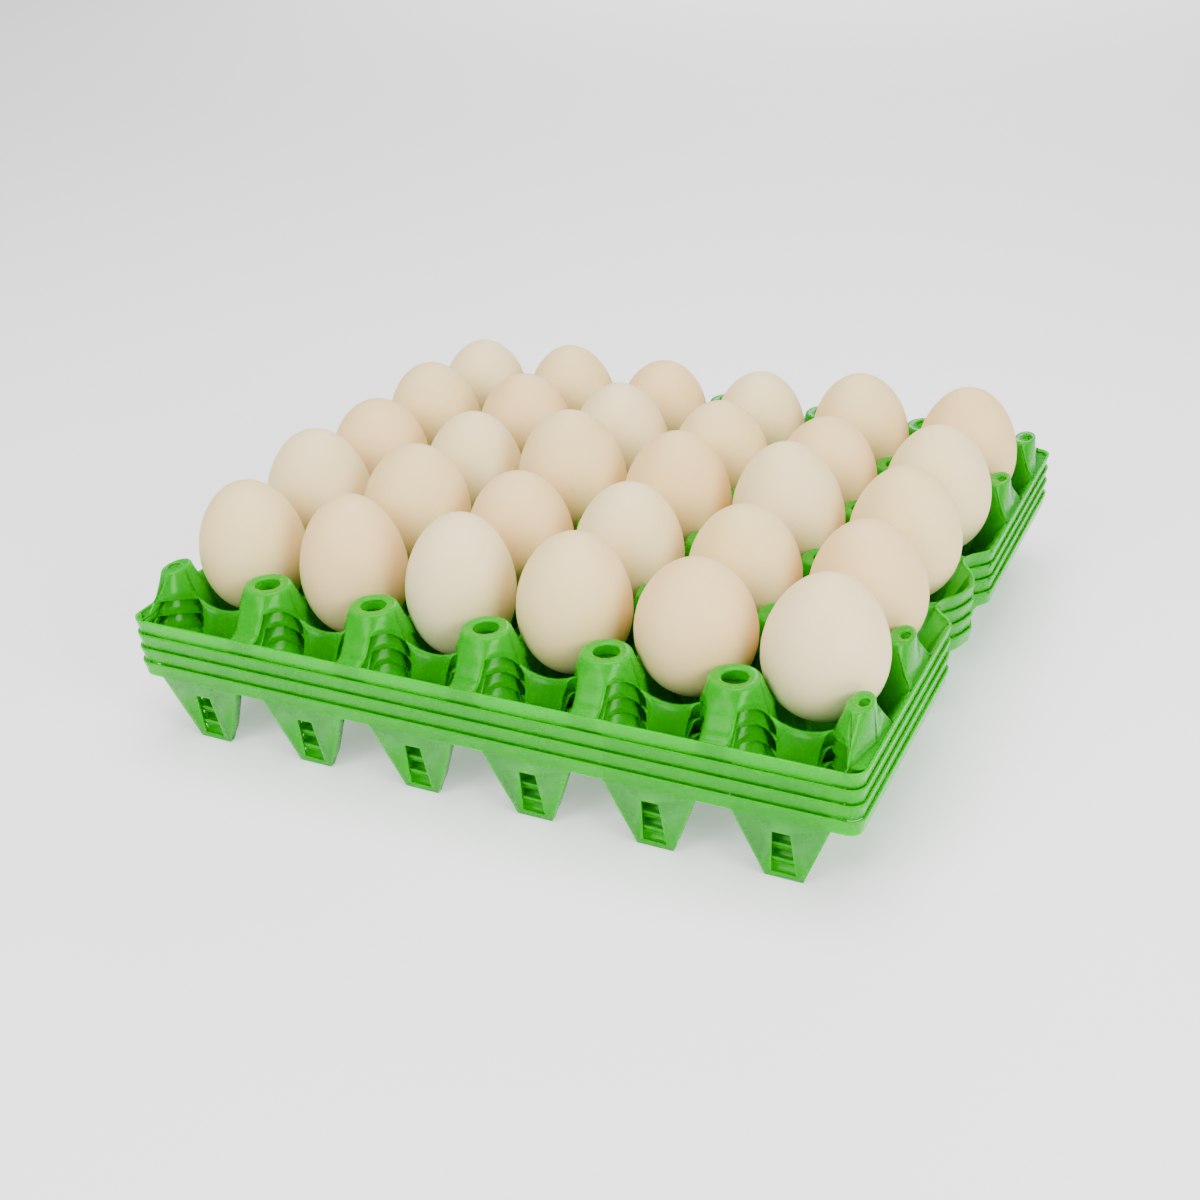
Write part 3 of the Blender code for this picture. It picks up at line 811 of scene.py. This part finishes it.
def cup_surface(x, y):
    """Height of a cup's sheet above its tray's feet, at a place measured from the cup's middle."""
    slope = (CREST_END_Z - FLOOR_Z) / CUP_CORNER
    web = FLOOR_Z + max(max(abs(x), abs(y)) - CUP_FLOOR_HALF, 0.0) * slope
    reach = math.hypot(PITCH / 2 - abs(x), PITCH / 2 - abs(y))
    corner_reach = CUP_CORNER * math.sqrt(2)
    if reach < PILLAR_RADIUS:
        pillar = PILLAR_TOP_Z
    elif reach < SHOULDER_RADIUS:
        share = (reach - PILLAR_RADIUS) / (SHOULDER_RADIUS - PILLAR_RADIUS)
        pillar = mix(PILLAR_TOP_Z, SHOULDER_Z, share)
    else:
        share = (reach - SHOULDER_RADIUS) / (corner_reach - SHOULDER_RADIUS)
        pillar = mix(SHOULDER_Z, FLOOR_Z, share)
    return max(web, pillar)


def egg_point(across, height, diameter, length, taper):
    """A point of a unit ball, moved onto an egg."""
    swell = diameter / 2 * (1 - taper * height)
    return Vector((across.x * swell, across.y * swell, height * length / 2))


def seat_height(diameter, length, taper, lean):
    """How high the egg's middle has to be for it to rest in its cup."""
    highest = 0.0
    for ring in range(1, SEAT_SAMPLES):
        height = -math.cos(ring / SEAT_SAMPLES * math.pi / 2)
        width = math.sqrt(1 - height * height)
        for step in range(SEAT_SAMPLES):
            angle = step * math.tau / SEAT_SAMPLES
            across = Vector((width * math.cos(angle), width * math.sin(angle)))
            point = lean @ egg_point(across, height, diameter, length, taper)
            highest = max(highest, cup_surface(point.x, point.y) - point.z)
    return highest + EGG_GAP


def add_egg(column, row, draw):
    diameter = EGG_DIAMETERS[row][column] * MM
    length = EGG_LENGTHS[row][column] * MM
    taper = EGG_TAPER + draw.uniform(-1, 1) * EGG_TAPER_SPREAD
    lean_x = Matrix.Rotation(draw.uniform(-1, 1) * EGG_TILT, 3, "X")
    lean_y = Matrix.Rotation(draw.uniform(-1, 1) * EGG_TILT, 3, "Y")
    lean = lean_x @ lean_y
    ball = bmesh.new()
    bmesh.ops.create_uvsphere(ball, u_segments=EGG_SIDES, v_segments=EGG_RINGS, radius=1.0)
    for vertex in ball.verts:
        vertex.co = egg_point(vertex.co.xy, vertex.co.z, diameter, length, taper)
    node = f"egg_r{row + 1}_c{column + 1}"
    data = bpy.data.meshes.new(f"shell_{node}")
    ball.to_mesh(data)
    ball.free()
    data.shade_smooth()
    egg = bpy.data.objects.new(f"shell_{node}", data)
    bpy.context.scene.collection.objects.link(egg)
    middle = pillar_axis(column + 0.5, row + 0.5)
    seat = (TRAY_COUNT - 1) * NEST_STEP + seat_height(diameter, length, taper, lean)
    data.transform(Matrix.Translation((middle.x, middle.y, seat)) @ lean.to_4x4())
    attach(egg, "root")
    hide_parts(node)
    return egg


class Value:
    """A node socket that ordinary arithmetic can be written with."""

    def __init__(self, surface, socket):
        self.surface = surface
        self.socket = socket

    def maths(self, operation, *values):
        return self.surface.node("ShaderNodeMath", {"operation": operation}, values)

    def __add__(self, other):
        return self.maths("ADD", self, other)

    __radd__ = __add__

    def __sub__(self, other):
        return self.maths("SUBTRACT", self, other)

    def __rsub__(self, other):
        return self.maths("SUBTRACT", other, self)

    def __mul__(self, other):
        return self.maths("MULTIPLY", self, other)

    __rmul__ = __mul__

    def clamped(self):
        return self.maths("MINIMUM", self.maths("MAXIMUM", self, 0.0), 1.0)

    def between(self, low, high):
        """0 at low, 1 at high, and straight between them."""
        return ((self - low) * (1 / (high - low))).clamped()


class Surface:
    """One material and the nodes that feed its shader."""

    def __init__(self, name, **settings):
        self.material = bpy.data.materials.new(name)
        self.material.use_nodes = True
        self.tree = self.material.node_tree
        self.shader = self.tree.nodes["Principled BSDF"]
        for socket, value in settings.items():
            self.shader.inputs[socket.replace("_", " ")].default_value = value

    def node(self, kind, settings, values, output=0):
        made = self.tree.nodes.new(kind)
        for key, value in settings.items():
            setattr(made, key, value)
        named = values.items() if isinstance(values, dict) else enumerate(values)
        for key, value in named:
            self.feed(made.inputs[key], value)
        return Value(self, made.outputs[output])

    def feed(self, socket, value):
        if isinstance(value, Value):
            self.tree.links.new(value.socket, socket)
        else:
            socket.default_value = value

    def place(self):
        """Where the point is on the object, in metres."""
        return self.node("ShaderNodeTexCoord", {}, {}, "Object")

    def noise(self, vector, scale, detail=2.0, roughness=0.5):
        values = {"Vector": vector, "Scale": scale, "Detail": detail, "Roughness": roughness}
        return self.node("ShaderNodeTexNoise", {}, values)

    def mix(self, share, first, second):
        settings = {"data_type": "RGBA"}
        values = {0: share, 6: first, 7: second}
        return self.node("ShaderNodeMix", settings, values, 2)

    def colour(self, value):
        self.feed(self.shader.inputs["Base Color"], value)

    def rough(self, value):
        self.feed(self.shader.inputs["Roughness"], value)

    def bump(self, height, depth):
        values = {"Height": height, "Distance": depth, "Strength": 1.0}
        self.feed(self.shader.inputs["Normal"], self.node("ShaderNodeBump", {}, values))


def green_plastic():
    """Bright moulded polypropylene: glossy, faintly cloudy, with a fine grain and slight scuffs."""
    surface = Surface(
        "green plastic",
        Specular_IOR_Level=0.3,
        Specular_Tint=(0.45, 1.0, 0.35, 1.0),
        Subsurface_Weight=1.0,
        Subsurface_Radius=(0.2, 1.0, 0.1),
        Subsurface_Scale=0.008,
    )
    place = surface.place()
    cloud = surface.noise(place, 38.0, 3.0)
    grain = surface.noise(place, 900.0, 2.0)
    scuff = surface.noise(place, 150.0, 4.0, 0.7).between(0.56, 0.74)
    fresh = surface.mix(
        cloud.between(0.3, 0.7), (0.002, 0.33, 0.0003, 1.0), (0.006, 0.39, 0.0006, 1.0)
    )
    surface.colour(surface.mix(scuff * 0.25, fresh, (0.02, 0.46, 0.003, 1.0)))
    surface.rough(0.22 + cloud * 0.06 + scuff * 0.16)
    surface.bump(grain * 0.5 + cloud * 2.0, 0.00003)
    return surface.material


def egg_shell(name, tint, blush):
    """Matte shell with fine pores, faint darker specks and a slow change of tone."""
    surface = Surface(name, Specular_IOR_Level=0.35)
    place = surface.place()
    tone = surface.noise(place, 42.0, 2.0).between(0.3, 0.7)
    pores = surface.noise(place, 1500.0, 2.0)
    specks = surface.noise(place, 620.0, 3.0, 0.6).between(0.66, 0.74)
    ground = surface.mix(tone, tint, blush)
    surface.colour(surface.mix(specks * 0.18, ground, (0.45, 0.27, 0.14, 1.0)))
    surface.rough(0.52 + tone * 0.08)
    surface.bump(pores, 0.00004)
    return surface.material


FLOOR_SIZE = 8.0
FLOOR_DROP = 0.2 * MM
WHITE = (1.0, 1.0, 1.0, 1.0)


def add_floor():
    bpy.ops.mesh.primitive_plane_add(size=FLOOR_SIZE, location=(0.0, 0.0, -FLOOR_DROP))
    floor = bpy.context.object
    floor.name = "floor"
    surface = Surface("pale floor", Roughness=0.6, Emission_Strength=0.4)
    surface.shader.inputs["Emission Color"].default_value = WHITE
    shade = surface.noise(surface.place(), 6.0, 2.0)
    surface.colour(surface.mix(shade, (0.93, 0.93, 0.93, 1.0), (0.96, 0.96, 0.96, 1.0)))
    floor.data.materials.append(surface.material)


# Soft lights: name, place, what it points at, diameter and power.
OBJECT_MIDDLE = (0.0, 0.0, 0.05)
LIGHTS = (
    ("overhead", (0.0, 0.1, 1.4), OBJECT_MIDDLE, 1.2, 24.0),
    ("key", (-0.3, -1.15, 0.95), OBJECT_MIDDLE, 0.8, 14.5),
    ("backdrop", (-0.6, 2.4, 1.3), (-0.6, 2.4, 0.0), 1.5, 40.0),
    ("side", (1.0, -0.5, 0.6), OBJECT_MIDDLE, 0.6, 14.0),
)
WORLD_STRENGTH = 0.5


def add_area_light(name, place, target, size, power):
    data = bpy.data.lights.new(name, "AREA")
    data.shape = "DISK"
    data.size = size
    data.energy = power
    light = bpy.data.objects.new(name, data)
    bpy.context.scene.collection.objects.link(light)
    light.location = place
    light.rotation_mode = "QUATERNION"
    light.rotation_quaternion = (Vector(target) - Vector(place)).to_track_quat("-Z", "Y")


def add_lights():
    world = bpy.data.worlds.new("soft studio")
    bpy.context.scene.world = world
    world.use_nodes = True
    background = world.node_tree.nodes["Background"]
    background.inputs["Color"].default_value = WHITE
    background.inputs["Strength"].default_value = WORLD_STRENGTH
    for name, place, target, size, power in LIGHTS:
        add_area_light(name, place, target, size, power)


# Camera, from the pillars, rim corners and feet in the photograph, in cup pitches and degrees.
AZIMUTH = math.radians(26.7405)
ELEVATION = math.radians(27.853)
ROLL = math.radians(-2.8188)
TARGET_COLUMN = 3.1923
TARGET_ROW = 1.5415
TARGET_DROP = -0.5
CAMERA_DISTANCE = 13.5822
FOCAL_PIXELS = 1624.55
PICTURE_PIXELS = 1200
SENSOR_WIDTH = 36.0
PILLAR_LEVEL = (TRAY_COUNT - 1) * NEST_STEP + PILLAR_TOP_Z


def add_camera():
    back = Vector(
        (
            math.sin(AZIMUTH) * math.cos(ELEVATION),
            -math.cos(AZIMUTH) * math.cos(ELEVATION),
            math.sin(ELEVATION),
        )
    )
    target = Vector(
        (
            (TARGET_COLUMN - HALF_COLUMNS) * PITCH,
            (TARGET_ROW - HALF_ROWS) * PITCH,
            PILLAR_LEVEL + TARGET_DROP * PITCH,
        )
    )
    right = (-back).cross(Vector((0.0, 0.0, 1.0))).normalized()
    up = right.cross(-back)
    rolled_right = right * math.cos(ROLL) + up * math.sin(ROLL)
    rolled_up = up * math.cos(ROLL) - right * math.sin(ROLL)
    data = bpy.data.cameras.new("camera")
    data.sensor_width = SENSOR_WIDTH
    data.lens = SENSOR_WIDTH * FOCAL_PIXELS / PICTURE_PIXELS
    data.clip_start = 0.01
    data.clip_end = 20.0
    camera = bpy.data.objects.new("camera", data)
    bpy.context.scene.collection.objects.link(camera)
    turn = Matrix((rolled_right, rolled_up, back)).transposed()
    place = target + back * (CAMERA_DISTANCE * PITCH)
    camera.matrix_world = Matrix.Translation(place) @ turn.to_4x4()
    bpy.context.scene.camera = camera


sheet_data = quarter_sheet("moulded_sheet")
wall_data = quarter_wall("rim_wall")
plastic = green_plastic()
sheet_data.materials.append(plastic)
wall_data.materials.append(plastic)
for level in range(TRAY_COUNT):
    add_tray(level, sheet_data, wall_data)

shells = [
    egg_shell("cream shell", (0.89, 0.66, 0.29, 1.0), (0.90, 0.69, 0.35, 1.0)),
    egg_shell("pale shell", (0.90, 0.71, 0.36, 1.0), (0.90, 0.74, 0.43, 1.0)),
    egg_shell("pink shell", (0.89, 0.61, 0.27, 1.0), (0.90, 0.65, 0.33, 1.0)),
]
draw = random.Random(EGG_SEED)
for row in range(CUP_ROWS):
    for column in range(CUP_COLUMNS):
        egg = add_egg(column, row, draw)
        egg.data.materials.append(shells[(column * 2 + row) % len(shells)])

add_floor()
add_lights()
add_camera()
